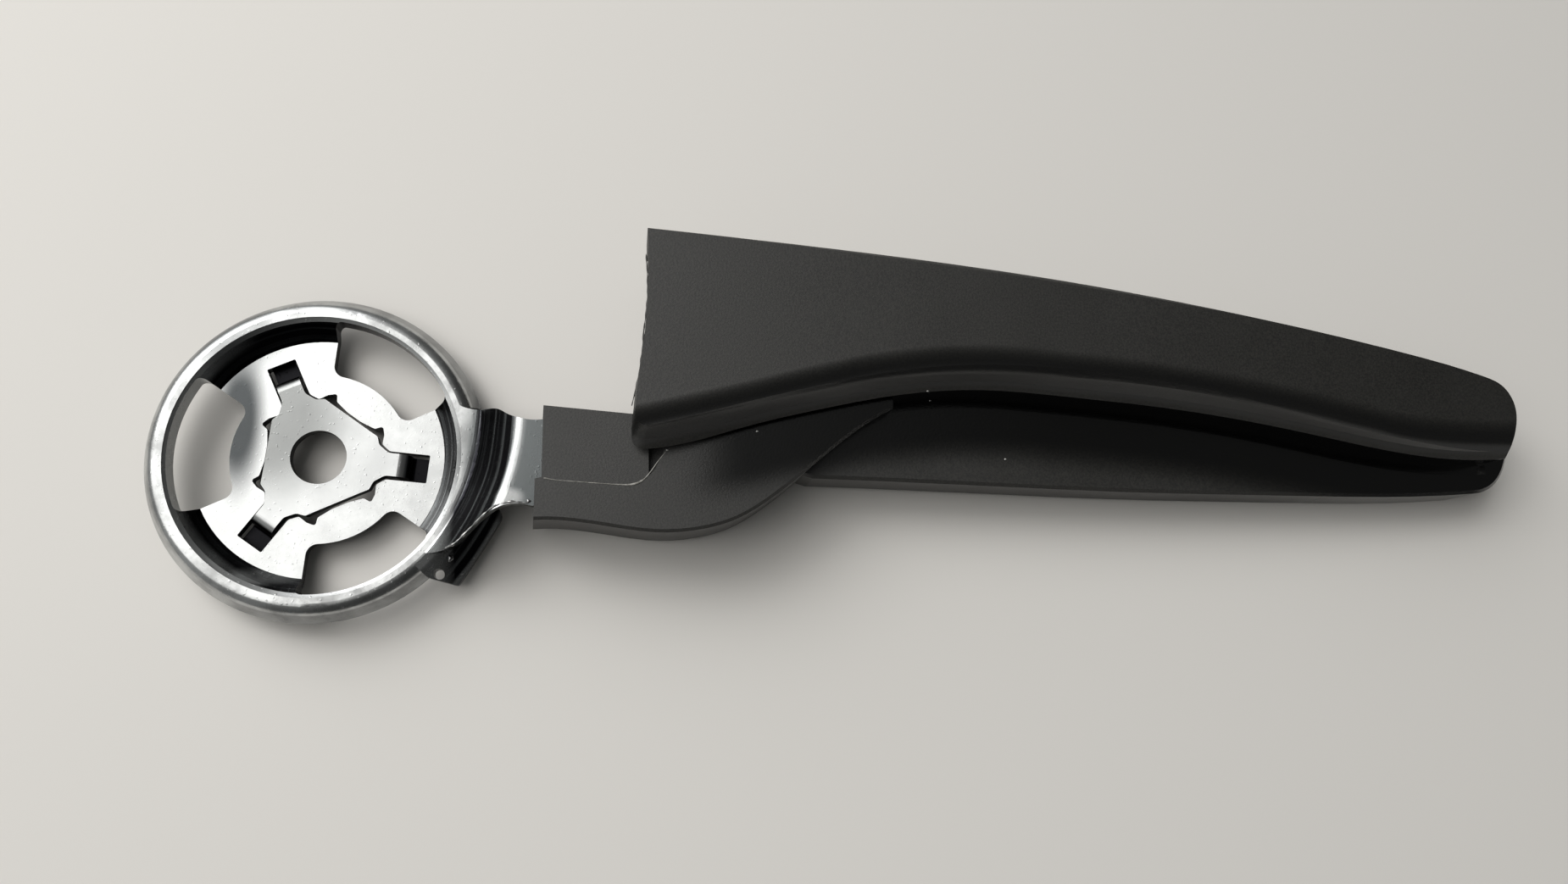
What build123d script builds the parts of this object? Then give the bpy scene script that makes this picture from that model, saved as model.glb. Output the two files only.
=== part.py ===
from build123d import *
import os
from math import atan2, cos, hypot, pi, radians, sin, tan

# Car seat height lever: a zinc-plated pressed steel lever plate with a dished
# hub, a tri-lobed steel drive plate held in its opening, and a long ribbed
# plastic grip pressed over the arm. All sizes are in millimetres.
# +Z is the hub's axis, towards the side that faces out of the car.
# +X runs along the arm to the grip's tip. The origin is the bore's centre,
# on the level of the web's outer face.

# Driving sizes of the pressed sheet
sheet = 2.5
web_radius = 25.0
cup_depth = 5.0
flange_inner_radius = 28.5
flange_bend_radius = 31.9
skirt_radius = 34.0
skirt_bottom = 0.4
skirt_bend = 2.6
rim_flat = 0.3
rim_break = 0.6
cup_bend = 2.2
skirt_angles = (18.0, 324.0)

# Kidney windows through the web's margin and the cup's wall
window_inner_radius = 17.8
window_outer_radius = 28.4
window_half_angle = 30.0
window_mid_angle = 54.5
window_inner_corner = 2.4
window_outer_corner = 1.4

# Tri-lobed opening in the web, and the drive plate that sits in it
lobe_angle = -6.3
slot_half_width = 3.0
slot_end = 21.9
lobe_half_width = 2.4
bore_radius = 5.6
drive_top = 1.45
leg_face = 18.3
foot_end = 24.6
tight_bend = 0.6

# Joggled neck, flat arm and the wing under the neck
neck_center = (-12.0, 8.0)
first_bend_radius = 44.9
second_bend_radius = 52.8
bend_inside = 0.9
neck_angles = (-46.0, 10.0)
neck_reach = 125.0
neck_root_radius = 40.4
arm_top = 13.0
arm_taper_start = 80.0
arm_end = 94.0
wing_angles = (-52.0, -12.0)
wing_root_radius = 32.7
wing_overlap = 2.1
wing_lead = 0.4
wing_reach = 39.8
wing_drop = 6.2
wing_notch_radius = 1.05

# Levels of the grip, from its open back to its outer face
back_level = 1.0
lower_face_level = 12.0
block_level = 16.5
lip_level = 18.5
face_level = 24.0
wall = 2.5
lip_overhang = 0.8
flare_level = 20.0
flare_width = 1.6
groove_width = 2.4
groove_depth = 1.2
lower_edge_break = 0.7
body_step = 0.4
rib = 1.8
rib_start = 104.0
rib_pitch = 20.0
rib_count = 8
block_ribs = (62.0, 78.0, 92.0)
block_break = 0.6
block_draft = 1.2
rib_setback = 1.5
pocket_floor = 13.8
cover_draft = 0.8
crease_radius = 2.5
face_edge_radius = 1.8


def turned(point, angle):
    """The point turned about the hub's axis by an angle in degrees."""
    x, y = point
    a = radians(angle)
    return (x * cos(a) - y * sin(a), x * sin(a) + y * cos(a))


def three_lobes(half_points, half_radii):
    """A closed outline and its corner radii: half a lobe, mirrored across its axis, three times round."""
    points = []
    radii = []
    for lobe in range(3):
        angle = lobe_angle + 120 * lobe
        below = [(x, -y) for x, y in reversed(half_points)]
        points += [turned(p, angle) for p in below + half_points]
        radii += half_radii[::-1] + half_radii
    return points, radii


def upright_plane(angle, center=(0, 0)):
    """The plane that stands on the axis through center: x runs out at the angle, y is up."""
    a = radians(angle)
    return Plane((center[0], center[1], 0), x_dir=(cos(a), sin(a), 0), z_dir=(sin(a), -cos(a), 0))


os.makedirs("parts", exist_ok=True)

# Half a lobe of the opening, along and across the lobe's axis: slot end,
# slot mouth, rounded tooth, relief notch, then the bulged side between lobes
opening_points, opening_radii = three_lobes(
    [
        (slot_end, slot_half_width), (13.6, slot_half_width), (11.9, 4.3), (12.0, 6.3),
        (11.5, 8.1), (9.9, 7.4), (6.9, 8.55),
    ],
    [0.3, 1.4, 0.7, 0.4, 0.5, 0.7, 6.0],
)

# The rise of the cup's wall and of the neck: an offset bend moves out by this much on the far side
cup_shift = sheet * tan(atan2(cup_depth, flange_inner_radius - web_radius) / 2)
neck_shift = sheet * tan(atan2(arm_top - cup_depth, second_bend_radius - first_bend_radius) / 2)
rim_bottom = cup_depth - sheet

# Where the rim's bend starts, and the skirt's width at its bottom edge
skirt_slope = atan2(skirt_radius - flange_bend_radius, cup_depth - skirt_bottom)
skirt_root = flange_bend_radius - skirt_bend * tan((pi / 2 - skirt_slope) / 2) - rim_flat
skirt_shift = sheet / cos(skirt_slope)

# The slope of the wing, and the step across its thickness
wing_slope = atan2(wing_drop - wing_lead, wing_reach - wing_root_radius)
wing_step = (sheet * sin(wing_slope), sheet * cos(wing_slope))

# Lever plate: cup, rim, neck, arm and wing, pressed from one sheet
with BuildPart() as lever_plate:
    with BuildSketch(Plane.XZ):
        with BuildLine():
            FilletPolyline(
                (0, 0),
                (web_radius, 0),
                (flange_inner_radius, cup_depth),
                (skirt_root, cup_depth),
                (skirt_root, rim_bottom),
                (flange_inner_radius + cup_shift, rim_bottom),
                (web_radius + cup_shift, -sheet),
                (0, -sheet),
                radius=[0, 0, 0, 0, 0, 0, cup_bend, 0],
                close=True,
            )
        make_face()
    revolve(axis=Axis.Z)
    rim_edge = lever_plate.edges().filter_by(GeomType.CIRCLE).filter_by(
        lambda e: abs(e.radius - flange_inner_radius) < 0.01 and e.center().Z > rim_bottom
    )
    chamfer(rim_edge, rim_break)

    # skirt: the rim turned down all round, but for the neck's width
    with BuildSketch(upright_plane(skirt_angles[0])):
        with BuildLine():
            FilletPolyline(
                (skirt_root, cup_depth),
                (flange_bend_radius, cup_depth),
                (skirt_radius, skirt_bottom),
                (skirt_radius - skirt_shift, skirt_bottom),
                (skirt_root, rim_bottom),
                radius=[0, skirt_bend, 0, 0, 0],
                close=True,
            )
        make_face()
    revolve(axis=Axis.Z, revolution_arc=skirt_angles[1] - skirt_angles[0])

    # neck and arm: one joggled section turned about the neck's own axis, cut to the arm's outline
    with BuildPart(mode=Mode.PRIVATE) as neck:
        with BuildSketch(upright_plane(neck_angles[0], neck_center)):
            with BuildLine():
                FilletPolyline(
                    (neck_root_radius, cup_depth),
                    (first_bend_radius, cup_depth),
                    (second_bend_radius, arm_top),
                    (neck_reach, arm_top),
                    (neck_reach, arm_top - sheet),
                    (second_bend_radius + neck_shift, arm_top - sheet),
                    (first_bend_radius + neck_shift, rim_bottom),
                    (neck_root_radius, rim_bottom),
                    radius=[0, bend_inside, bend_inside + sheet, 0, 0, bend_inside, bend_inside + sheet, 0],
                    close=True,
                )
            make_face()
        neck_axis = Axis((neck_center[0], neck_center[1], 0), (0, 0, 1))
        revolve(axis=neck_axis, revolution_arc=neck_angles[1] - neck_angles[0])
        with BuildSketch():
            with BuildLine():
                top = Spline((28.0, 10.6), (33.8, 9.2), (36.6, 8.7), (39.2, 6.9), (41.6, 5.9), (46.0, 5.6))
                bottom = Spline(
                    (44.0, -12.1), (39.6, -11.7), (36.0, -13.0), (32.0, -16.3),
                    (28.6, -19.4), (26.2, -20.3), (20.0, -19.6),
                )
                Polyline(
                    top @ 1, (arm_taper_start, 5.0), (arm_end, 1.0), (arm_end, -5.0),
                    (arm_taper_start, -11.5), bottom @ 0,
                )
                Line(bottom @ 1, top @ 0)
            make_face()
        extrude(amount=arm_top + 1, mode=Mode.INTERSECT)
        with BuildSketch():
            Circle(flange_inner_radius + 0.7)
        extrude(amount=arm_top, mode=Mode.SUBTRACT)
    add(neck.part)

    # wing: the rim's edge bent down and outwards under the neck's lower corner
    with BuildPart(mode=Mode.PRIVATE) as wing:
        with BuildSketch(upright_plane(wing_angles[0])):
            with BuildLine():
                FilletPolyline(
                    (wing_root_radius - wing_overlap, cup_depth),
                    (wing_root_radius, cup_depth - wing_lead),
                    (wing_reach, cup_depth - wing_drop),
                    (wing_reach - wing_step[0], cup_depth - wing_drop - wing_step[1]),
                    (wing_root_radius - wing_step[0] / 2, rim_bottom - wing_lead),
                    (wing_root_radius - wing_overlap, rim_bottom),
                    radius=[0, sheet, 0, 0, bend_inside, 0],
                    close=True,
                )
            make_face()
        revolve(axis=Axis.Z, revolution_arc=wing_angles[1] - wing_angles[0])
        with BuildSketch(Plane.XY.offset(-sheet - 2)):
            with BuildLine():
                FilletPolyline(
                    (20.4, -22.8), (22.9, -25.3), (28.5, -26.8), (37.2, -12.6), (33.5, -5.0), (26.0, -10.0),
                    radius=[0, 1.2, 0.7, 2.0, 0, 0],
                    close=True,
                )
            make_face()
        extrude(amount=cup_depth + sheet + 3, mode=Mode.INTERSECT)
    add(wing.part)

    # relief notch at the wing's root
    with BuildSketch(Plane.XY.offset(-sheet - 2)):
        with Locations((25.0, -24.6)):
            Circle(wing_notch_radius)
    extrude(amount=cup_depth + sheet + 3, mode=Mode.SUBTRACT)

    # the tri-lobed opening and the three kidney windows
    with BuildSketch(Plane.XY.offset(-sheet - 1)):
        with BuildLine():
            FilletPolyline(*opening_points, radius=opening_radii, close=True)
        make_face()
    extrude(amount=sheet + 2, mode=Mode.SUBTRACT)
    for window in range(3):
        middle = window_mid_angle + 120 * window
        with BuildSketch(Plane.XY.offset(-sheet - 1)) as kidney:
            with BuildLine():
                start = middle - window_half_angle
                inner = CenterArc((0, 0), window_inner_radius, start, 2 * window_half_angle)
                outer = CenterArc((0, 0), window_outer_radius, start, 2 * window_half_angle)
                Line(inner @ 0, outer @ 0)
                Line(inner @ 1, outer @ 1)
            make_face()
            by_radius = kidney.vertices().sort_by(lambda v: hypot(v.X, v.Y))
            fillet(by_radius[:2], window_inner_corner)
            by_radius = kidney.vertices().sort_by(lambda v: hypot(v.X, v.Y))
            fillet(by_radius[-2:], window_outer_corner)
        extrude(amount=sheet + cup_depth + 2, mode=Mode.SUBTRACT)
lever_plate.part.label = "lever_plate"
export_step(lever_plate.part, "parts/lever_plate.step")

# Drive plate: a tri-lobed steel plate with three legs bent down through the
# slots, each ending in a foot that lies under the web
drive_points, drive_radii = three_lobes(
    [(leg_face - 2.4, lobe_half_width), (13.7, lobe_half_width), (11.6, 3.9), (11.0, 5.6), (9.2, 6.6)],
    [0, 1.6, 1.2, 0.8, 2.0],
)
with BuildPart() as drive_plate:
    with BuildSketch(Plane.XY.offset(drive_top - sheet)):
        with BuildLine():
            FilletPolyline(*drive_points, radius=drive_radii, close=True)
        make_face()
    extrude(amount=sheet)
    for lobe in range(3):
        with BuildSketch(upright_plane(lobe_angle + 120 * lobe)):
            with BuildLine():
                FilletPolyline(
                    (13.7, drive_top),
                    (leg_face, drive_top),
                    (leg_face, -sheet),
                    (foot_end, -sheet),
                    (foot_end, -2 * sheet),
                    (leg_face - sheet, -2 * sheet),
                    (leg_face - sheet, drive_top - sheet),
                    (13.7, drive_top - sheet),
                    radius=[0, sheet, tight_bend, 0.4, 0.4, sheet + 0.3, tight_bend, 0],
                    close=True,
                )
            make_face()
        extrude(amount=lobe_half_width, both=True)
    Hole(bore_radius)
drive_plate.part.label = "drive_plate"
export_step(drive_plate.part, "parts/drive_plate.step")

# Grip outlines in plan: the long upper edge, the rounded tip, the lower edge,
# the lip of the raised cover and the crease where its face turns down
upper_edge = [(67.2, 44.0), (105.0, 40.5), (155.0, 34.5), (205.0, 25.6), (240.0, 18.0), (253.6, 14.4)]
cover_tip = [(258.1, 12.4), (260.6, 8.0), (259.8, 2.4)]
body_tip = [(260.5, 11.6), (264.0, 5.0), (263.2, -2.2), (260.4, -7.5)]
lower_edge = [(253.4, -10.8), (236.0, -11.4), (210.0, -11.0), (173.0, -10.0), (137.5, -8.3), (101.5, -6.6)]
lip = [
    (66.4, -1.7), (78.2, 0.4), (86.0, 2.7), (103.1, 6.8), (118.0, 9.6), (137.0, 10.9),
    (155.3, 9.6), (178.6, 7.1), (205.0, 2.7), (221.0, -0.7), (237.0, -3.5), (256.8, -4.0),
]
crease = [
    (67.2, 2.6), (80.0, 5.6), (98.0, 9.6), (118.0, 13.0), (137.0, 14.0),
    (165.3, 12.6), (189.2, 9.2), (213.3, 3.4), (235.0, -0.2), (254.5, -1.6),
]
free_end_point = (66.3, 19.5)
crown_line = [(40.0, 23.4), (140.0, 23.9), (205.0, 23.1), (242.0, 21.1), (255.0, 19.8), (266.0, 18.8)]
block_edge = [
    (44.7, -15.4), (58.8, -16.7), (69.0, -18.1), (78.2, -17.5),
    (84.6, -15.7), (91.2, -12.0), (105.0, -1.3), (118.2, 7.3),
]


def moved(points, dx, dy):
    """The points, each moved by the same step."""
    return [(x + dx, y + dy) for x, y in points]


def long_edges(face):
    """The edges of a face that run along the grip, the lowest first."""
    return face.edges().filter_by(lambda e: e.length > 100).sort_by(Axis.Y)


def cover_outline(level, lower_curve, inset):
    """The cover's outline at a level: its upper edge and tip moved in, closed along a lower curve."""
    with BuildSketch(Plane.XY.offset(level)) as outline:
        with BuildLine():
            upper = Spline(*moved(upper_edge, 0, -inset), *moved(cover_tip, -inset, -inset), lower_curve[-1])
            lower = Spline(*lower_curve)
            x, y = lower_curve[0]
            corner = ThreePointArc(lower @ 0, (x - 1.9, y + 0.8), (x - 2.5, y + 3.0))
            Spline(corner @ 1, free_end_point, upper @ 0, tangents=[(0.04, 1.0), (-0.02, 1.0)])
        make_face()
    return outline.sketch


def open_outline(level, lower_curve, inset):
    """The room inside the cover in plan, run out past the free end."""
    with BuildSketch(Plane.XY.offset(level)) as outline:
        with BuildLine():
            inner = moved(lower_curve, 0, wall)
            inner[-1] = (inner[-1][0] - wall, inner[-1][1])
            upper = Spline(*moved(upper_edge, 0, -inset), *moved(cover_tip, -inset, 0.2 - inset), inner[-1])
            lower = Spline(*inner)
            Polyline(lower @ 0, (60.0, inner[0][1]), (60.0, upper_edge[0][1] - inset), upper @ 0)
        make_face()
    return outline.sketch


def side_view(drop):
    """Everything under the crown, seen from the side: level over the palm, falling away to the tip."""
    with BuildSketch(Plane.XZ) as side:
        with BuildLine():
            crown = Spline(*[(x, z - drop) for x, z in crown_line])
            Polyline(crown @ 1, (crown_line[-1][0], -5.0), (crown_line[0][0], -5.0), crown @ 0)
        make_face()
    return side.sketch


def body_outline(level, inset):
    """The lower body's outline at a level, a step inside the cover's, its lower edge and tip moved in."""
    with BuildSketch(Plane.XY.offset(level)) as outline:
        with BuildLine():
            low = Spline(*moved(lower_edge, 0, inset))
            upper = Spline(
                *moved(upper_edge, body_step, -body_step), *moved(body_tip, -inset, inset / 2), low @ 0
            )
            corner = (66.0 + body_step, 6.0)
            Polyline(low @ 1, (90.0, -3.0), corner)
            middle = moved([free_end_point], body_step, 0)[0]
            Spline(corner, middle, upper @ 0, tangents=[(0.05, 1.0), (-0.02, 1.0)])
        make_face()
    return outline.sketch


def block_outline(level, spread):
    """The socket block in plan: a box round the arm that sweeps up into the grip, its end spread out."""
    end = moved([(46.4, 7.7), (46.2, -6.9), (44.9, -7.2), block_edge[0]], -spread, 0)
    with BuildSketch(Plane.XY.offset(level)) as outline:
        with BuildLine():
            sweep_up = Spline(end[-1], *block_edge[1:])
            Polyline(sweep_up @ 1, (118.2, 10.5), (76.0, 8.0), (66.0, 5.8), *end)
        make_face()
    return outline.sketch


break_level = lower_face_level - lower_edge_break
groove_level = lower_face_level - groove_depth
set_back = moved(lip[:-1], 0, lip_overhang) + lip[-1:]

# The grip's outer form: lower body, set-back wall under the lip, and the raised cover
with BuildPart() as outer:
    extrude(body_outline(back_level, 0.0), amount=break_level - back_level)
    loft([body_outline(break_level, 0.0), body_outline(lower_face_level, lower_edge_break)], ruled=True)

    # the groove along the foot of the wall, then the wall, set back a little under the lip
    with BuildSketch(Plane.XY.offset(groove_level)):
        with BuildLine():
            groove_top = Spline(*moved(lip[4:], 0, wall))
            groove_foot = Spline(*moved(lip[4:], 0, -groove_width))
            Line(groove_top @ 0, groove_foot @ 0)
            Line(groove_top @ 1, groove_foot @ 1)
        make_face()
    extrude(amount=lower_face_level - groove_level, mode=Mode.SUBTRACT)
    extrude(cover_outline(groove_level, set_back, 0.0), amount=lip_level - groove_level)
    flare_outline = cover_outline(flare_level, moved(lip, 0, flare_width), 0.0)
    loft([cover_outline(lip_level, lip, 0.0), flare_outline], ruled=True)
    loft([flare_outline, cover_outline(face_level, crease, cover_draft)], ruled=True)
    fillet(long_edges(outer.faces().sort_by(Axis.Z)[-1])[0], crease_radius)
    fillet(long_edges(outer.faces().sort_by(Axis.Z)[-1])[-1], face_edge_radius)
    extrude(side_view(0.0), amount=60, both=True, mode=Mode.INTERSECT)

# The hollow moulded into it from the back: one room under the lower body's face, one up inside
# the cover, both parted by the ribs that cross from wall to wall
with BuildPart() as hollow:
    lower_room = lower_face_level - wall - back_level + 1
    extrude(open_outline(back_level - 1, lower_edge[::-1], wall), amount=lower_room)
    cover_room = face_level - wall - back_level + 1
    extrude(open_outline(back_level - 1, crease, wall + cover_draft), amount=cover_room)
    extrude(side_view(wall), amount=60, both=True, mode=Mode.INTERSECT)
    with BuildSketch(Plane.XY.offset(back_level + rib_setback)):
        for number in range(rib_count):
            with Locations((rib_start + number * rib_pitch, 12.0)):
                Rectangle(rib, 80.0)
    extrude(amount=face_level, mode=Mode.SUBTRACT)

with BuildPart() as grip:
    add(outer.part)
    add(hollow.part, mode=Mode.SUBTRACT)

    # the free gap between the block's face and the cover that overhangs it
    with BuildSketch(Plane.XY.offset(block_level)):
        with BuildLine():
            Polyline((55.0, -22.0), (90.0, -22.0), (116.0, 6.5), (112.0, 8.6), (55.0, 9.5), close=True)
        make_face()
    extrude(amount=lip_level - block_level, mode=Mode.SUBTRACT)

    # the socket block, cored from the back between its own ribs
    with BuildPart(mode=Mode.PRIVATE) as block:
        loft([block_outline(back_level, block_draft), block_outline(block_level, 0.0)], ruled=True)
        chamfer(block.faces().sort_by(Axis.Z)[-1].edges().filter_by(lambda e: e.length > 60), block_break)
        with BuildSketch(Plane.XY.offset(back_level)):
            with BuildLine():
                inner_sweep = Spline((48.7, -13.3), *moved(block_edge[1:], 0, wall))
                Polyline(inner_sweep @ 1, (76.0, 5.5), (66.0, 3.3), (48.7, 5.0), inner_sweep @ 0)
            make_face()
            for x in block_ribs:
                with Locations((x, -4.0)):
                    Rectangle(rib, 40.0, mode=Mode.SUBTRACT)
        extrude(amount=arm_top - sheet - wall - back_level, mode=Mode.SUBTRACT)
    add(block.part)

    # the arm's pocket
    add(neck.part, mode=Mode.SUBTRACT)

    # the side core's pocket behind the block's flat face
    with BuildSketch(Plane.XY.offset(pocket_floor)):
        with BuildLine():
            Polyline((67.3, 6.5), (67.3, -6.8), (68.7, -5.2), (70.3, -1.9), (71.0, 6.5), close=True)
        make_face()
    extrude(amount=block_level - pocket_floor, mode=Mode.SUBTRACT)
grip.part.label = "grip"
export_step(grip.part, "parts/grip.step")
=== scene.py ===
from math import pi, radians

import bpy
import numpy as np
from mathutils import Matrix, Vector


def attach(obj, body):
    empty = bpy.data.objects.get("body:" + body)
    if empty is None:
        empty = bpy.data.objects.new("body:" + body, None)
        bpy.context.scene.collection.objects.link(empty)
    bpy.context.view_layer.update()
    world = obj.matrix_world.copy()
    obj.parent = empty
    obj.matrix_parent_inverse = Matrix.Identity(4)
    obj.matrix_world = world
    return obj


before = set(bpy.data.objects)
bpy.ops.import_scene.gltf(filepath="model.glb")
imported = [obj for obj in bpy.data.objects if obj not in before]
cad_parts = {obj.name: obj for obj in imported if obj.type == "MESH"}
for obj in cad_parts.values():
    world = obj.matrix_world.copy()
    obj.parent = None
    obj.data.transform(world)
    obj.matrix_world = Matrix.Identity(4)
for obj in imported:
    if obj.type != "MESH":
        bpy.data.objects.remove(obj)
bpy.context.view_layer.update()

# The frame is that of the CAD model: the bore is at the origin, +Z faces out of the car, +X runs to the
# grip's tip. Sizes are in metres, or in mm where a comment says so; the camera's angles are in radians.

mm = 0.001

# Camera, solved from the round hub: image size and focal length in pixels
image_width = 1850
focal_length = 1350.0
sensor_width = 36.0
camera_place = (0.06179, -0.04549, 0.24445)
camera_tilt_x = -0.197655
camera_turn_y = 0.141512

# The floor: the lever lies on a foot of the drive plate and on the grip's back near the tip
foot_contact = (24.7 * mm, -5.0 * mm)
grip_contact = (262.0 * mm, 1.0 * mm)
floor_gap = 0.1 * mm

# The pressed neck: its own axis, and the distances from it where it bends down and up again
neck_center = (-12.0 * mm, 8.0 * mm)
first_bend_radius = 44.9 * mm
second_bend_radius = 52.8 * mm
neck_side = 24.0 * mm

# The dished hub's wall and rim
rim_inner_radius = 28.5 * mm

# Levels of the grip; the line of its raised cover's lip in plan is in mm
block_level = 16.5 * mm
free_end_level = 19.0 * mm
grip_begins = 62.0 * mm
lip_line = [
    (66.4, -1.7), (86.0, 2.7), (103.1, 6.8), (118.0, 9.6), (137.0, 10.9),
    (155.3, 9.6), (178.6, 7.1), (205.0, 2.7), (221.0, -0.7), (237.0, -3.5), (256.8, -4.0),
]
lip_span = 300.0
lip_rise = 20.0

# Bands across the lip, in mm below its line: where each starts, is full, falls again and ends
roll_band = (-9.0, -4.6, -3.6, -2.2)
strip_band = (-3.4, -2.0, -1.2, -0.4)
shade_band = (-4.0, -3.0, 8.0, 16.5)
roll_start = -8.5 * mm
roll_end = -3.4 * mm
roll_drop = 1.6 * mm

# Noise scales, per metre
cloud_on_steel = 130.0
speck_on_steel = 1500.0
cloud_on_plastic = 45.0
plastic_grain = 2300.0
hub_rings = 1300.0
neck_rings = 1000.0


# Shader parts shared by the materials

def node_group(name, inputs, outputs):
    """An empty shader node group with named float, vector or colour sockets."""
    group = bpy.data.node_groups.new(name, "ShaderNodeTree")
    for socket, kind, value in inputs:
        made = group.interface.new_socket(socket, in_out="INPUT", socket_type=kind)
        made.default_value = value
    for socket, kind in outputs:
        group.interface.new_socket(socket, in_out="OUTPUT", socket_type=kind)
    return group, group.nodes.new("NodeGroupInput"), group.nodes.new("NodeGroupOutput")


def add(tree, kind, values=None, **settings):
    """A node with its settings; values holds the numbers for its input sockets, by name or place."""
    node = tree.nodes.new(kind)
    for name, value in settings.items():
        setattr(node, name, value)
    for socket, value in (values or {}).items():
        node.inputs[socket].default_value = value
    return node


def remap(tree, source, low, high, to_low, to_high, smooth=False):
    """The source, stretched from low..high to to_low..to_high and held at the ends."""
    node = add(tree, "ShaderNodeMapRange", {1: low, 2: high, 3: to_low, 4: to_high})
    node.interpolation_type = "SMOOTHSTEP" if smooth else "LINEAR"
    tree.links.new(source, node.inputs[0])
    return node.outputs[0]


def link_or_set(tree, socket, value):
    """Joins a socket to another one, or gives it a constant."""
    if isinstance(value, bpy.types.NodeSocket):
        tree.links.new(value, socket)
    else:
        socket.default_value = value


def calculate(tree, operation, *terms):
    """One Math node between sockets or numbers."""
    node = add(tree, "ShaderNodeMath", operation=operation)
    for place, value in enumerate(terms):
        link_or_set(tree, node.inputs[place], value)
    return node.outputs[0]


def blend(tree, mask, first, second):
    """A colour that runs from the first to the second as the mask runs from 0 to 1."""
    node = add(tree, "ShaderNodeMix", data_type="RGBA")
    tree.links.new(mask, node.inputs["Factor"])
    for socket, value in ((node.inputs[6], first), (node.inputs[7], second)):
        link_or_set(tree, socket, (*value, 1.0) if isinstance(value, tuple) else value)
    return node.outputs[2]


def multiply(tree, *masks):
    """The product of masks."""
    product = masks[0]
    for mask in masks[1:]:
        product = calculate(tree, "MULTIPLY", product, mask)
    return product


def inverse(tree, mask):
    """1 - mask."""
    return calculate(tree, "SUBTRACT", 1.0, mask)


def distance_in_plan(tree, place, centre, reach=(1.0, 1.0)):
    """Distance in plan from an upright axis at centre, with its two parts divided by the reach."""
    offset = add(tree, "ShaderNodeVectorMath", operation="SUBTRACT")
    scale = (1.0 / reach[0], 1.0 / reach[1], 0.0)
    scaled = add(tree, "ShaderNodeVectorMath", {1: scale}, operation="MULTIPLY")
    length = add(tree, "ShaderNodeVectorMath", operation="LENGTH")
    tree.links.new(place, offset.inputs[0])
    link_or_set(tree, offset.inputs[1], centre)
    tree.links.new(offset.outputs[0], scaled.inputs[0])
    tree.links.new(scaled.outputs[0], length.inputs[0])
    return length.outputs["Value"]


def oval(tree, place, centre, reach, core):
    """1 in the core of an oval in plan, given in mm, and 0 past its edge."""
    middle = (centre[0] * mm, centre[1] * mm, 0.0)
    distance = distance_in_plan(tree, place, middle, (reach[0] * mm, reach[1] * mm))
    return remap(tree, distance, core, 1.0, 1.0, 0.0, smooth=True)


def mix_values(tree, mask, first, second):
    """A number that runs from the first to the second as the mask runs from 0 to 1."""
    node = add(tree, "ShaderNodeMix", data_type="FLOAT")
    for socket, value in ((0, mask), (2, first), (3, second)):
        link_or_set(tree, node.inputs[socket], value)
    return node.outputs[0]


def make_steepness():
    """Mask of the walls: 0 where the surface faces up, 1 where it stands steeper than about 50 degrees."""
    tree, start, end = node_group(
        "steepness",
        [("Flat", "NodeSocketFloat", 0.90), ("Steep", "NodeSocketFloat", 0.62)],
        [("Mask", "NodeSocketFloat")],
    )
    place = add(tree, "ShaderNodeTexCoord")
    parts = add(tree, "ShaderNodeSeparateXYZ")
    tree.links.new(place.outputs["Normal"], parts.inputs[0])
    stretch = add(tree, "ShaderNodeMapRange", {3: 0.0, 4: 1.0}, interpolation_type="SMOOTHSTEP")
    tree.links.new(parts.outputs["Z"], stretch.inputs[0])
    tree.links.new(start.outputs["Flat"], stretch.inputs[1])
    tree.links.new(start.outputs["Steep"], stretch.inputs[2])
    tree.links.new(stretch.outputs[0], end.inputs["Mask"])
    return tree


def make_draw_marks():
    """Rings round an upright axis: noise of the distance from it, wandering a little along the ring."""
    tree, start, end = node_group(
        "draw marks",
        [("Axis", "NodeSocketVector", (0.0, 0.0, 0.0)), ("Rings", "NodeSocketFloat", 900.0)],
        [("Mark", "NodeSocketFloat")],
    )
    place = add(tree, "ShaderNodeTexCoord").outputs["Object"]
    distance = distance_in_plan(tree, place, start.outputs["Axis"])
    slow = add(tree, "ShaderNodeTexNoise", {"Scale": 55.0, "Detail": 1.0})
    tree.links.new(place, slow.inputs["Vector"])
    ring = calculate(tree, "MULTIPLY", distance, start.outputs["Rings"])
    lines = add(tree, "ShaderNodeTexNoise", {"Scale": 1.0, "Detail": 2.0}, noise_dimensions="1D")
    wander = 1.6
    tree.links.new(calculate(tree, "MULTIPLY_ADD", slow.outputs["Fac"], wander, ring), lines.inputs["W"])
    tree.links.new(lines.outputs["Fac"], end.inputs["Mark"])
    return tree


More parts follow.
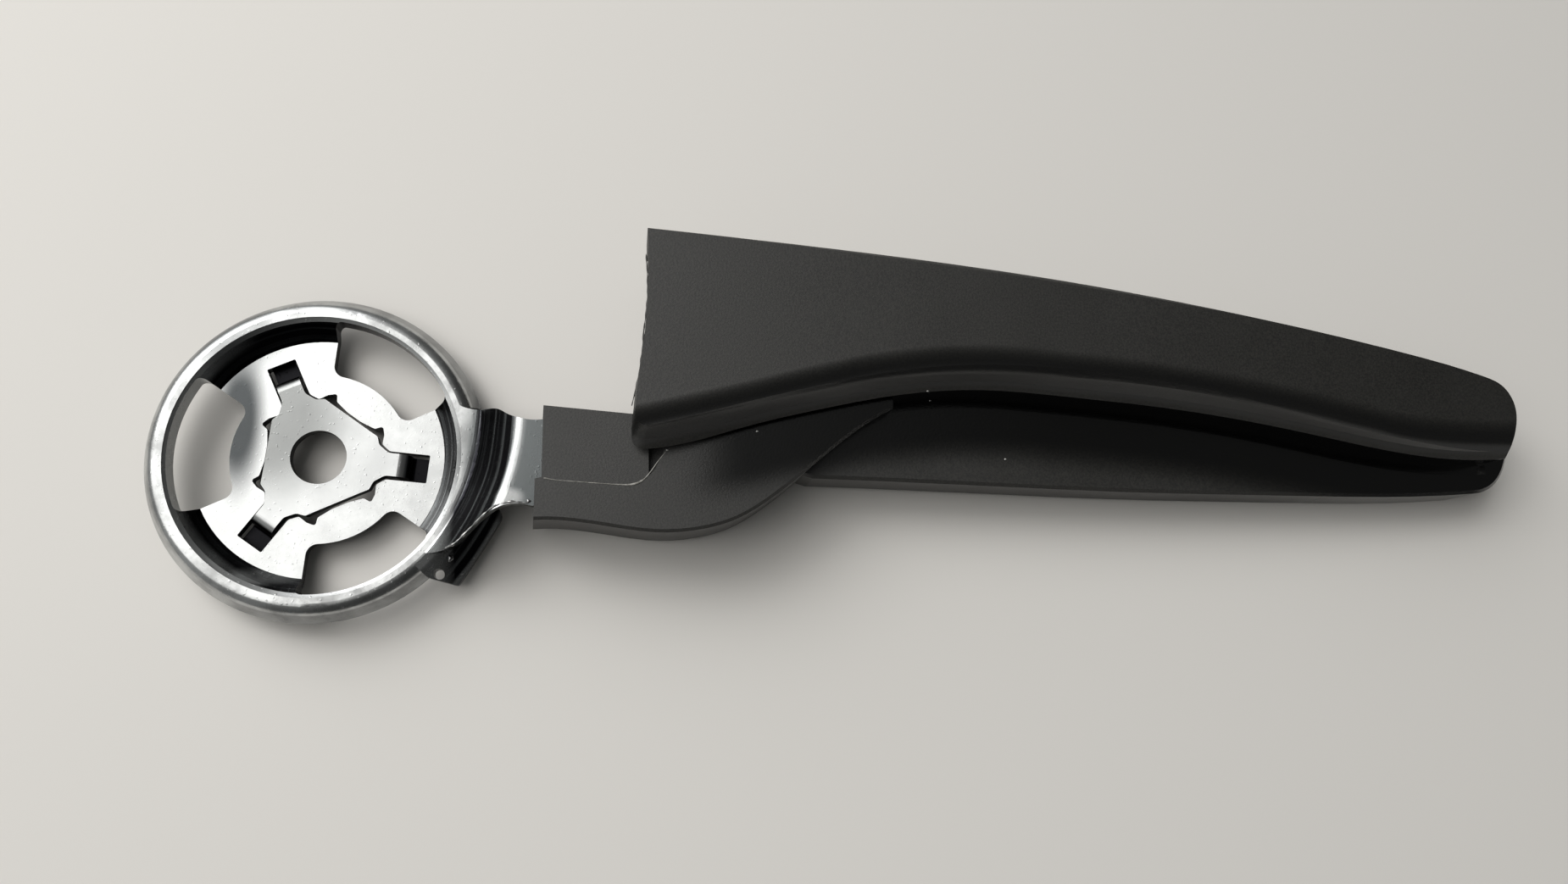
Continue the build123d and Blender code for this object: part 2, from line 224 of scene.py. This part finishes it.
def make_handling():
    """Cloudy smudges and fine specks of handling, each from 0 to 1."""
    tree, start, end = node_group(
        "handling",
        [("Cloud Scale", "NodeSocketFloat", 90.0), ("Speck Scale", "NodeSocketFloat", 900.0)],
        [("Cloud", "NodeSocketFloat"), ("Speck", "NodeSocketFloat")],
    )
    place = add(tree, "ShaderNodeTexCoord")
    cloud = add(tree, "ShaderNodeTexNoise", {"Detail": 4.0, "Roughness": 0.6})
    speck = add(tree, "ShaderNodeTexNoise", {"Detail": 1.0})
    for noise, socket in ((cloud, "Cloud Scale"), (speck, "Speck Scale")):
        tree.links.new(place.outputs["Object"], noise.inputs["Vector"])
        tree.links.new(start.outputs[socket], noise.inputs["Scale"])
    clouds = remap(tree, cloud.outputs["Fac"], 0.35, 0.65, 0.0, 1.0)
    specks = remap(tree, speck.outputs["Fac"], 0.66, 0.76, 0.0, 1.0, smooth=True)
    tree.links.new(clouds, end.inputs["Cloud"])
    tree.links.new(specks, end.inputs["Speck"])
    return tree


steepness = make_steepness()
draw_marks = make_draw_marks()
handling = make_handling()


def place_group(tree, group, values=None):
    """A node that stands for a shared group, with its own values."""
    node = add(tree, "ShaderNodeGroup")
    node.node_tree = group
    for socket, value in (values or {}).items():
        node.inputs[socket].default_value = value
    return node


def set_up_material(name):
    """A new material with its node tree and its shader."""
    material = bpy.data.materials.new(name)
    material.use_nodes = True
    return material, material.node_tree, material.node_tree.nodes["Principled BSDF"]


# Finishes

def plated_steel(name, tint, wall_shade_tint, mark_highlight_tint, arm_shade_tint, roughness, shade_patches, highlight_patches=()):
    """Satin zinc on pressed steel: pale on the flats; on the walls, painted shade with painted highlight
    streaks stands in for their dark reflections.

    A patch is (centre in mm, reach in mm, amount, tint): a soft oval of painted shade or painted highlight.
    """
    material, tree, shader = set_up_material(name)
    place = add(tree, "ShaderNodeTexCoord").outputs["Object"]
    parts = add(tree, "ShaderNodeSeparateXYZ")
    tree.links.new(place, parts.inputs[0])
    x, _, z = parts.outputs
    wear = place_group(tree, handling, {"Cloud Scale": cloud_on_steel, "Speck Scale": speck_on_steel})
    cloud = wear.outputs["Cloud"]
    from_bore = distance_in_plan(tree, place, (0.0, 0.0, 0.0))
    from_neck = distance_in_plan(tree, place, (*neck_center, 0.0))

    # zones: past the neck's first bend, past its second bend, and the rolled rim
    first, second, rim = first_bend_radius, second_bend_radius, rim_inner_radius
    by_neck = remap(tree, x, neck_side, neck_side + 4 * mm, 0.0, 1.0)
    past_first = remap(tree, from_neck, first - 2.4 * mm, first - 0.2 * mm, 0.0, 1.0, True)
    past_second = remap(tree, from_neck, second - 0.9 * mm, second + 0.3 * mm, 0.0, 1.0, True)
    past_wall = remap(tree, from_bore, rim + 0.1 * mm, rim + 0.6 * mm, 0.0, 1.0)
    on_neck = multiply(tree, by_neck, past_first)
    on_arm = multiply(tree, by_neck, past_second)
    on_rim = multiply(tree, past_wall, inverse(tree, on_neck))

    # how much painted wall shade shows, standing in for dark reflections: on steep faces and the neck,
    # lifted off the cup's top edge at the left, where the wall catches light
    steep = place_group(tree, steepness).outputs["Mask"]
    edge = place_group(tree, steepness, {"Flat": 0.58, "Steep": 0.24}).outputs["Mask"]
    slope = mix_values(tree, on_rim, steep, edge)
    sunk = multiply(tree, on_neck, inverse(tree, on_arm))
    near_rim = remap(tree, from_bore, rim - 2.1 * mm, rim - 0.9 * mm, 0.0, 0.9, True)
    left = remap(tree, x, -12 * mm, -19 * mm, 0.0, 1.0, True)
    kept_shade = inverse(tree, multiply(tree, near_rim, left))
    painted_wall_shade = multiply(tree, calculate(tree, "MAXIMUM", slope, sunk), kept_shade)

    # grey streaks round the hub, most on its right side, and along the neck: draw marks of the press tool
    # in the bump, painted highlights in the colour over the painted wall shade
    hub_marks = place_group(tree, draw_marks, {"Rings": hub_rings}).outputs["Mark"]
    neck_axis = {"Axis": (*neck_center, 0.0), "Rings": neck_rings}
    neck_marks = place_group(tree, draw_marks, neck_axis).outputs["Mark"]
    right = remap(tree, x, -6 * mm, 14 * mm, 0.2, 0.6)
    hub_mark_highlight = multiply(tree, remap(tree, hub_marks, 0.50, 0.68, 0.0, 1.0, True), right)
    neck_mark_highlight = remap(tree, neck_marks, 0.50, 0.70, 0.0, 0.9, True)
    mark_highlight = mix_values(tree, on_neck, hub_mark_highlight, neck_mark_highlight)
    painted_wall_color = blend(tree, mark_highlight, wall_shade_tint, mark_highlight_tint)

    # the flats: clouded, with the patches of painted shade, the mottled rim and the arm greyed by painted
    # shade
    clouded, mottled = (tuple(share * value for value in tint) for share in (0.72, 0.38))
    flats = blend(tree, remap(tree, cloud, 0.0, 1.0, 0.0, 0.30), tint, clouded)
    for centre, reach, amount, patch_tint in shade_patches:
        patch = oval(tree, place, centre, reach, 0.35)
        flats = blend(tree, multiply(tree, patch, amount), flats, patch_tint)
    mottle = multiply(tree, on_rim, remap(tree, cloud, 0.25, 1.0, 0.0, 0.65))
    flats = blend(tree, mottle, flats, mottled)
    # painted shade: the arm past the second bend takes the arm's darker tint
    beyond = remap(tree, from_neck, second + 0.5 * mm, second + 2.4 * mm, 0.0, 1.0, True)
    flats = blend(tree, multiply(tree, by_neck, beyond), flats, arm_shade_tint)

    # all together, with the patches of painted highlight, and painted shade below the web's face
    color = blend(tree, painted_wall_shade, flats, painted_wall_color)
    for centre, reach, amount, patch_tint in highlight_patches:
        patch = oval(tree, place, centre, reach, 0.30)
        color = blend(tree, multiply(tree, patch, amount), color, patch_tint)
    below = remap(tree, z, -0.3 * mm, -1.2 * mm, 0.0, 1.0)
    tree.links.new(blend(tree, below, color, shadow_steel), shader.inputs["Base Color"])

    gloss = remap(tree, cloud, 0.0, 1.0, roughness - 0.04, roughness + 0.06)
    tree.links.new(gloss, shader.inputs["Roughness"])
    shader.inputs["Metallic"].default_value = 1.0
    bump = add(tree, "ShaderNodeBump", {"Strength": 0.35, "Distance": 0.06 * mm})
    relief = multiply(tree, mark_highlight, painted_wall_shade)
    tree.links.new(calculate(tree, "ADD", relief, wear.outputs["Speck"]), bump.inputs["Height"])
    tree.links.new(bump.outputs["Normal"], shader.inputs["Normal"])
    return material


def distance_below_lip(tree, x, y):
    """How far a point lies below the lip's line in plan, in metres; negative on the cover above it."""
    curve = add(tree, "ShaderNodeFloatCurve")
    points = curve.mapping.curves[0].points
    span = [(along / lip_span, (across + lip_rise) / (2 * lip_rise)) for along, across in lip_line]
    points[0].location = span[0]
    points[1].location = span[-1]
    for place in span[1:-1]:
        points.new(*place)
    curve.mapping.update()
    tree.links.new(remap(tree, x, 0.0, lip_span * mm, 0.0, 1.0), curve.inputs["Value"])
    lip = remap(tree, curve.outputs["Value"], 0.0, 1.0, -lip_rise * mm, lip_rise * mm)
    return calculate(tree, "SUBTRACT", lip, y)


def band(tree, source, marks):
    """A smooth band of the source between marks in mm: up over the first two, down over the last two."""
    start, full, falls, end = (mark * mm for mark in marks)
    up = remap(tree, source, start, full, 0.0, 1.0, True)
    down = remap(tree, source, falls, end, 1.0, 0.0, True)
    return multiply(tree, up, down)


def charcoal_plastic(name):
    """Charcoal moulded plastic with a fine even eroded grain, smoother under the cover's lip, with painted
    shade there and on the cover's roll, and a painted highlight along the lip.
    """
    material, tree, shader = set_up_material(name)
    place = add(tree, "ShaderNodeTexCoord").outputs["Object"]
    parts = add(tree, "ShaderNodeSeparateXYZ")
    tree.links.new(place, parts.inputs[0])
    x, y, z = parts.outputs
    grain = add(tree, "ShaderNodeTexNoise", {"Scale": plastic_grain, "Detail": 2.0, "Roughness": 0.6})
    tree.links.new(place, grain.inputs["Vector"])
    wear = place_group(tree, handling, {"Cloud Scale": cloud_on_plastic})
    shade = remap(tree, grain.outputs["Fac"], 0.35, 0.65, 0.0, 1.0)
    color = blend(tree, shade, (0.0050, 0.0048, 0.0040), (0.0190, 0.0182, 0.0152))

    # zones: the cover's roll above its lip and the low faces close under it, both in painted shade, and the
    # strip of painted highlight along the lip
    depth = distance_below_lip(tree, x, y)
    raised = remap(tree, z, block_level + 0.3 * mm, block_level + 1.2 * mm, 0.0, 1.0)
    roll = multiply(tree, band(tree, depth, roll_band), raised)
    strip = multiply(tree, band(tree, depth, strip_band), raised)
    past_block = remap(tree, x, grip_begins + 6 * mm, grip_begins + 26 * mm, 0.0, 1.0, True)
    under = multiply(tree, band(tree, depth, shade_band), past_block, inverse(tree, raised))

    # painted shade on the roll, painted highlight on the strip, painted shade under the lip
    color = blend(tree, multiply(tree, roll, 0.85), color, (0.0008, 0.0008, 0.0009))
    color = blend(tree, multiply(tree, strip, 0.8), color, (0.0260, 0.0255, 0.0250))
    color = blend(tree, multiply(tree, under, 0.96), color, (0.0006, 0.0006, 0.0006))
    tree.links.new(color, shader.inputs["Base Color"])
    gloss = remap(tree, wear.outputs["Cloud"], 0.0, 1.0, 0.50, 0.57)
    gloss = mix_values(tree, roll, gloss, 0.32)
    tree.links.new(mix_values(tree, under, gloss, 0.16), shader.inputs["Roughness"])
    shader.inputs["Specular IOR Level"].default_value = 0.85

    # relief: the roll turns the face down towards the lip, and the grain lies on it
    fall = remap(tree, depth, roll_start, roll_end, 1.0, 0.0, True)
    turn = add(tree, "ShaderNodeBump", {"Strength": 1.0, "Distance": roll_drop})
    bump = add(tree, "ShaderNodeBump", {"Strength": 0.55, "Distance": 0.05 * mm})
    tree.links.new(multiply(tree, fall, raised), turn.inputs["Height"])
    tree.links.new(grain.outputs["Fac"], bump.inputs["Height"])
    tree.links.new(turn.outputs["Normal"], bump.inputs["Normal"])
    tree.links.new(bump.outputs["Normal"], shader.inputs["Normal"])
    return material


def torn_plastic(name, dark, light):
    """Torn moulding flash, the free edge's flash with its painted highlight, and lint: thin plastic,
    whitened in clouds.
    """
    material, tree, shader = set_up_material(name)
    wear = place_group(tree, handling, {"Cloud Scale": 900.0})
    tree.links.new(blend(tree, wear.outputs["Cloud"], dark, light), shader.inputs["Base Color"])
    shader.inputs["Roughness"].default_value = 0.45
    return material


def sheared_steel(name, dark, light):
    """Burnished and torn edge of the cut sheet, from dark to light grains."""
    material, tree, shader = set_up_material(name)
    wear = place_group(tree, handling, {"Cloud Scale": 700.0})
    color = blend(tree, wear.outputs["Cloud"], dark, light)
    tree.links.new(color, shader.inputs["Base Color"])
    shader.inputs["Metallic"].default_value = 1.0
    shader.inputs["Roughness"].default_value = 0.35
    return material


def dress(node, material):
    """Gives a CAD node a finished material."""
    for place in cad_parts[node].material_slots:
        place.material = material


# Tints of the zinc, of its painted shade and of its painted highlights, and where the patches of painted
# shade and painted highlight lie: centre and reach in mm, amount, tint
zinc = (0.52, 0.53, 0.53)
left_shade_zinc = (0.052, 0.056, 0.058)
arm_shade_zinc = (0.150, 0.162, 0.165)
neck_shade_zinc = (0.09, 0.098, 0.10)
rim_shade_zinc = (0.15, 0.157, 0.16)
drive_shade_zinc = (0.16, 0.165, 0.162)
shadow_steel = (0.008, 0.008, 0.009)
lever_wall_shade = (0.010, 0.010, 0.012)
lever_mark_highlight = (0.15, 0.16, 0.165)
drive_wall_shade = (0.012, 0.012, 0.013)
drive_mark_highlight = (0.05, 0.05, 0.052)
# patches of painted shade: the web's dim left side, the rim's upper left and the neck
lever_shade_patches = [
    ((-16.5, 8.0), (6.8, 20.0), 1.0, left_shade_zinc),
    ((-20.0, 26.0), (16.0, 11.0), 0.60, rim_shade_zinc),
    ((35.0, 1.0), (8.5, 18.0), 0.90, neck_shade_zinc),
]
# painted highlights: a streak on the cup's lower left wall and a blotch at the arm's corner by the second
# bend
lever_highlight_patches = [
    ((-9.5, -24.4), (9.0, 2.4), 0.55, zinc),
    ((39.8, -10.4), (3.6, 2.6), 0.80, zinc),
]
# painted shade over the drive plate's upper left
drive_shade_patches = [((-11.0, 8.0), (22.0, 22.0), 0.85, drive_shade_zinc)]
lever_finish = plated_steel(
    "lever zinc", zinc, lever_wall_shade, lever_mark_highlight, arm_shade_zinc, 0.24, lever_shade_patches, lever_highlight_patches
)
drive_finish = plated_steel("drive zinc", zinc, drive_wall_shade, drive_mark_highlight, zinc, 0.30, drive_shade_patches)
grip_finish = charcoal_plastic("charcoal plastic")
flash_finish = torn_plastic("pale flash", (0.16, 0.155, 0.14), (0.42, 0.41, 0.38))
edge_flash_highlight_finish = torn_plastic("plastic edge flash with painted highlight", (0.022, 0.021, 0.019), (0.075, 0.073, 0.068))
lint_finish = torn_plastic("white lint", (0.45, 0.45, 0.43), (0.75, 0.75, 0.72))
sheared_finish = sheared_steel("sheared steel", (0.06, 0.06, 0.065), (0.62, 0.62, 0.61))
dress("lever_plate", lever_finish)
dress("drive_plate", drive_finish)
dress("grip", grip_finish)


# Small pieces: flash, the free edge's flash with painted highlight, sheared edges, burrs and lint

def smooth_path(points, steps):
    """Points on the cubic Hermite curve through the given points, with central differences as tangents."""
    known = np.array(points, float)
    slope = np.gradient(known, axis=0)
    t = np.linspace(0.0, len(known) - 1.0, steps)
    i = np.minimum(t.astype(int), len(known) - 2)
    u = (t - i)[:, None]
    start = (2 * u**3 - 3 * u**2 + 1) * known[i] + (u**3 - 2 * u**2 + u) * slope[i]
    end = (3 * u**2 - 2 * u**3) * known[i + 1] + (u**3 - u**2) * slope[i + 1]
    return start + end


def closed_tube(rings):
    """Vertices and faces of rings of points (ring, side, xyz), closed by the middle of each end ring."""
    count, sides = rings.shape[:2]
    poles = np.array([rings[0].mean(axis=0), rings[-1].mean(axis=0)])
    vertices = np.vstack([rings.reshape(-1, 3), poles])
    ring, side = np.meshgrid(np.arange(count - 1), np.arange(sides), indexing="ij")
    after = (side + 1) % sides
    across_rings = np.stack([ring, ring, ring + 1, ring + 1], -1)
    painted_wall_color = across_rings * sides + np.stack([side, after, after, side], -1)
    turn = np.arange(sides)
    onward = (turn + 1) % sides
    start_pole = np.full(sides, count * sides)
    end_ring = (count - 1) * sides
    first = np.column_stack([start_pole, onward, turn])
    last = np.column_stack([start_pole + 1, end_ring + turn, end_ring + onward])
    return vertices, painted_wall_color.reshape(-1, 4).tolist() + first.tolist() + last.tolist()


def add_piece(name, vertices, faces, material):
    """A smooth-shaded piece at the origin that rides on the one body."""
    mesh = bpy.data.meshes.new(name)
    mesh.from_pydata(vertices.tolist(), [], faces)
    mesh.shade_smooth()
    mesh.materials.append(material)
    piece = bpy.data.objects.new(name, mesh)
    bpy.context.scene.collection.objects.link(piece)
    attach(piece, "root")


def add_thread(name, path, half_widths, ragged, material, sides=8, steps=90):
    """A thin closed thread along a path in mm.

    point(t, a) = path(t) + w(t) * (cos(a) * across + sin(a) * up), t = 0..1
    w(t) = half width(t) * (1 + ragged * sin(61 t) * sin(23 t + 1)) * sqrt(max(1 - (2 t - 1)^12, 0.02))
    across lies level and square to the path, and up is square to both
    """
    centre = smooth_path(path, steps) * mm
    along = np.gradient(centre, axis=0)
    across = np.cross(along, (0.0, 0.0, 1.0))
    across /= np.linalg.norm(across, axis=1, keepdims=True)
    up = np.cross(along, across)
    up /= np.linalg.norm(up, axis=1, keepdims=True)
    t = np.linspace(0.0, 1.0, steps)
    width = np.interp(t, np.linspace(0.0, 1.0, len(half_widths)), half_widths) * mm
    width = width * (1.0 + ragged * np.sin(61 * t) * np.sin(23 * t + 1.0))
    width = width * np.sqrt(np.clip(1.0 - (2 * t - 1.0) ** 12, 0.02, 1.0))
    a = np.linspace(0.0, 2 * pi, sides, endpoint=False)[None, :, None]
    rings = centre[:, None] + width[:, None, None] * (np.cos(a) * across[:, None] + np.sin(a) * up[:, None])
    vertices, faces = closed_tube(rings)
    add_piece(name, vertices, faces, material)


def add_bead(name, centre, radii, material, rows=8, sides=12):
    """A small closed lump, with centre and radii in mm.

    point(p, a) = centre + radii * (n sin(p) cos(a), n sin(p) sin(a), cos(p)), n = 1 + 0.2 cos(3 a)
    """
    p = np.linspace(0.05, pi - 0.05, rows)[:, None]
    a = np.linspace(0.0, 2 * pi, sides, endpoint=False)[None, :]
    lobes = 1.0 + 0.2 * np.cos(3 * a)
    reach = np.sin(p) * lobes
    unit = np.stack([reach * np.cos(a), reach * np.sin(a), np.cos(p) + 0 * a], -1)
    rings = (np.array(centre) + unit[::-1] * np.array(radii)) * mm
    vertices, faces = closed_tube(rings)
    add_piece(name, vertices, faces, material)


def surface_level(node, x, y):
    """Height in mm of the CAD node's topmost face above a point of the plan."""
    above = Vector((x * mm, y * mm, 60 * mm))
    hit, place, _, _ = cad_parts[node].ray_cast(above, Vector((0.0, 0.0, -1.0)))
    return place.z / mm if hit else None


def laid_on(node, plan, fallback):
    """The plan points with the node's height at each, or the height before where there is no face."""
    path = []
    level = fallback
    for x, y in plan:
        found = surface_level(node, x, y)
        level = found if found is not None else level
        path.append((x, y, level))
    return path


# Where the small pieces run in plan, and their half widths and levels, in mm
flash_plan = [
    (46.6, -7.1), (48.9, -7.5), (54.7, -8.0), (61.3, -8.5), (63.9, -8.5),
    (65.9, -7.8), (67.4, -6.3), (69.1, -3.9), (70.3, -2.4), (71.0, -1.5),
]
flash_widths = [0.30, 0.08, 0.07, 0.12, 0.24, 0.20, 0.11, 0.09, 0.08, 0.06]
free_end_plan = [
    (66.9, 39.3), (67.2, 33.8), (67.1, 28.4), (66.4, 22.9), (66.0, 17.6), (65.1, 12.2), (63.9, 7.0),
]
free_end_widths = [0.16, 0.14, 0.20, 0.14, 0.20, 0.15, 0.18]
neck_edge_plan = [(43.6, -11.6), (39.6, -11.3), (36.0, -12.6), (32.2, -15.9), (29.0, -18.9), (26.8, -19.9)]
neck_edge_widths = [0.16, 0.24, 0.22, 0.20, 0.24, 0.28]
lint_plan = [(143.4, -2.7), (89.4, 2.4), (71.0, -1.5), (125.2, 10.6), (127.8, 10.4)]
lint_radii = (0.26, 0.16, 0.12)
arm_level = 13.0
ledge_level = 12.0

flash_path = [(x, y, block_level / mm) for x, y in flash_plan]
free_end_path = [(x, y, free_end_level / mm) for x, y in free_end_plan]
neck_edge_path = laid_on("lever_plate", neck_edge_plan, arm_level)
add_thread("block_flash", flash_path, flash_widths, 0.15, flash_finish)
# rough flash along the cover's free end, painted lighter as its edge highlight
add_thread("cover_edge_flash_highlight", free_end_path, free_end_widths, 0.5, edge_flash_highlight_finish)
add_thread("neck_sheared_edge", neck_edge_path, neck_edge_widths, 0.4, sheared_finish)
for number, spot in enumerate(laid_on("grip", lint_plan, ledge_level), start=1):
    add_bead(f"lint_{number}", spot, lint_radii, lint_finish)
add_bead("arm_burr", (43.5, -11.2, arm_level), (0.45, 0.40, 0.25), sheared_finish)
add_bead("wing_burr", (27.5, -21.6, 4.9), (0.55, 0.70, 0.40), sheared_finish)


# Surroundings

daylight = (1.0, 0.985, 0.96)
towards_window = (-0.90, 0.40, 0.0)


def add_floor():
    """A plain pale floor: level = contact level + slope * x, so that foot and grip both lie on it."""
    size = 3.0
    slope = (grip_contact[1] - foot_contact[1]) / (grip_contact[0] - foot_contact[0])
    corners = np.array([(-size, -size), (size, -size), (size, size), (-size, size)])
    level = foot_contact[1] - floor_gap + slope * (corners[:, 0] - foot_contact[0])
    mesh = bpy.data.meshes.new("floor")
    mesh.from_pydata(np.column_stack([corners, level]).tolist(), [], [(0, 1, 2, 3)])
    floor = bpy.data.objects.new("floor", mesh)
    bpy.context.scene.collection.objects.link(floor)
    material, _, shader = set_up_material("pale floor")
    shader.inputs["Base Color"].default_value = (0.80, 0.78, 0.745, 1.0)
    shader.inputs["Roughness"].default_value = 0.9
    mesh.materials.append(material)


def add_window(name, place, aim, size, radiance):
    """A soft rectangular panel that faces the aim point; power = radiance * pi * area."""
    data = bpy.data.lights.new(name, "AREA")
    data.shape = "RECTANGLE"
    data.size, data.size_y = size
    data.energy = radiance * pi * size[0] * size[1]
    data.color = daylight
    light = bpy.data.objects.new(name, data)
    light.location = place
    light.rotation_euler = (Vector(aim) - Vector(place)).to_track_quat("-Z", "Y").to_euler()
    bpy.context.scene.collection.objects.link(light)


def add_sky_patch(name, direction, strength, spread):
    """An even, far light from one direction; spread is its disc in degrees, wide for soft shadows."""
    data = bpy.data.lights.new(name, "SUN")
    data.energy = strength
    data.angle = radians(spread)
    light = bpy.data.objects.new(name, data)
    light.rotation_euler = (-Vector(direction)).to_track_quat("-Z", "Y").to_euler()
    bpy.context.scene.collection.objects.link(light)


def add_world(seen, lit):
    """A pale backdrop to look at, and a dim surround that lights the object, least away from the window."""
    world = bpy.data.worlds.new("studio")
    world.use_nodes = True
    tree = world.node_tree
    background = tree.nodes["Background"]
    background.inputs["Color"].default_value = (0.97, 0.98, 0.96, 1.0)
    ray = add(tree, "ShaderNodeLightPath")
    way = add(tree, "ShaderNodeTexCoord")
    facing = add(tree, "ShaderNodeVectorMath", {1: towards_window}, operation="DOT_PRODUCT")
    tree.links.new(way.outputs["Generated"], facing.inputs[0])
    surround = remap(tree, facing.outputs["Value"], -0.20, 0.60, 0.30 * lit, 1.7 * lit)
    level = mix_values(tree, ray.outputs["Is Camera Ray"], surround, seen)
    tree.links.new(level, background.inputs["Strength"])
    bpy.context.scene.world = world


def add_camera():
    """The photograph's camera: turned about the object's Y axis, then tilted about X."""
    data = bpy.data.cameras.new("camera")
    data.sensor_width = sensor_width
    data.lens = focal_length / image_width * sensor_width
    data.clip_start = 0.01
    camera = bpy.data.objects.new("camera", data)
    turn = Matrix.Rotation(camera_turn_y, 4, "Y") @ Matrix.Rotation(camera_tilt_x, 4, "X")
    camera.matrix_world = Matrix.Translation(camera_place) @ turn.transposed()
    bpy.context.scene.collection.objects.link(camera)
    bpy.context.scene.camera = camera


add_floor()
add_world(seen=0.55, lit=0.22)
add_window("ceiling window", (-0.600, 0.205, 1.04), aim=(0.0, 0.0, 0.0), size=(1.05, 1.15), radiance=1.8)
add_window("low lamp", (-0.30, 0.30, 0.40), aim=(0.05, 0.0, 0.0), size=(0.30, 0.30), radiance=3.2)
add_sky_patch("window side", direction=(-0.5, 0.6, 0.62), strength=0.9, spread=50.0)
bpy.context.scene.view_settings.view_transform = "Standard"
add_camera()
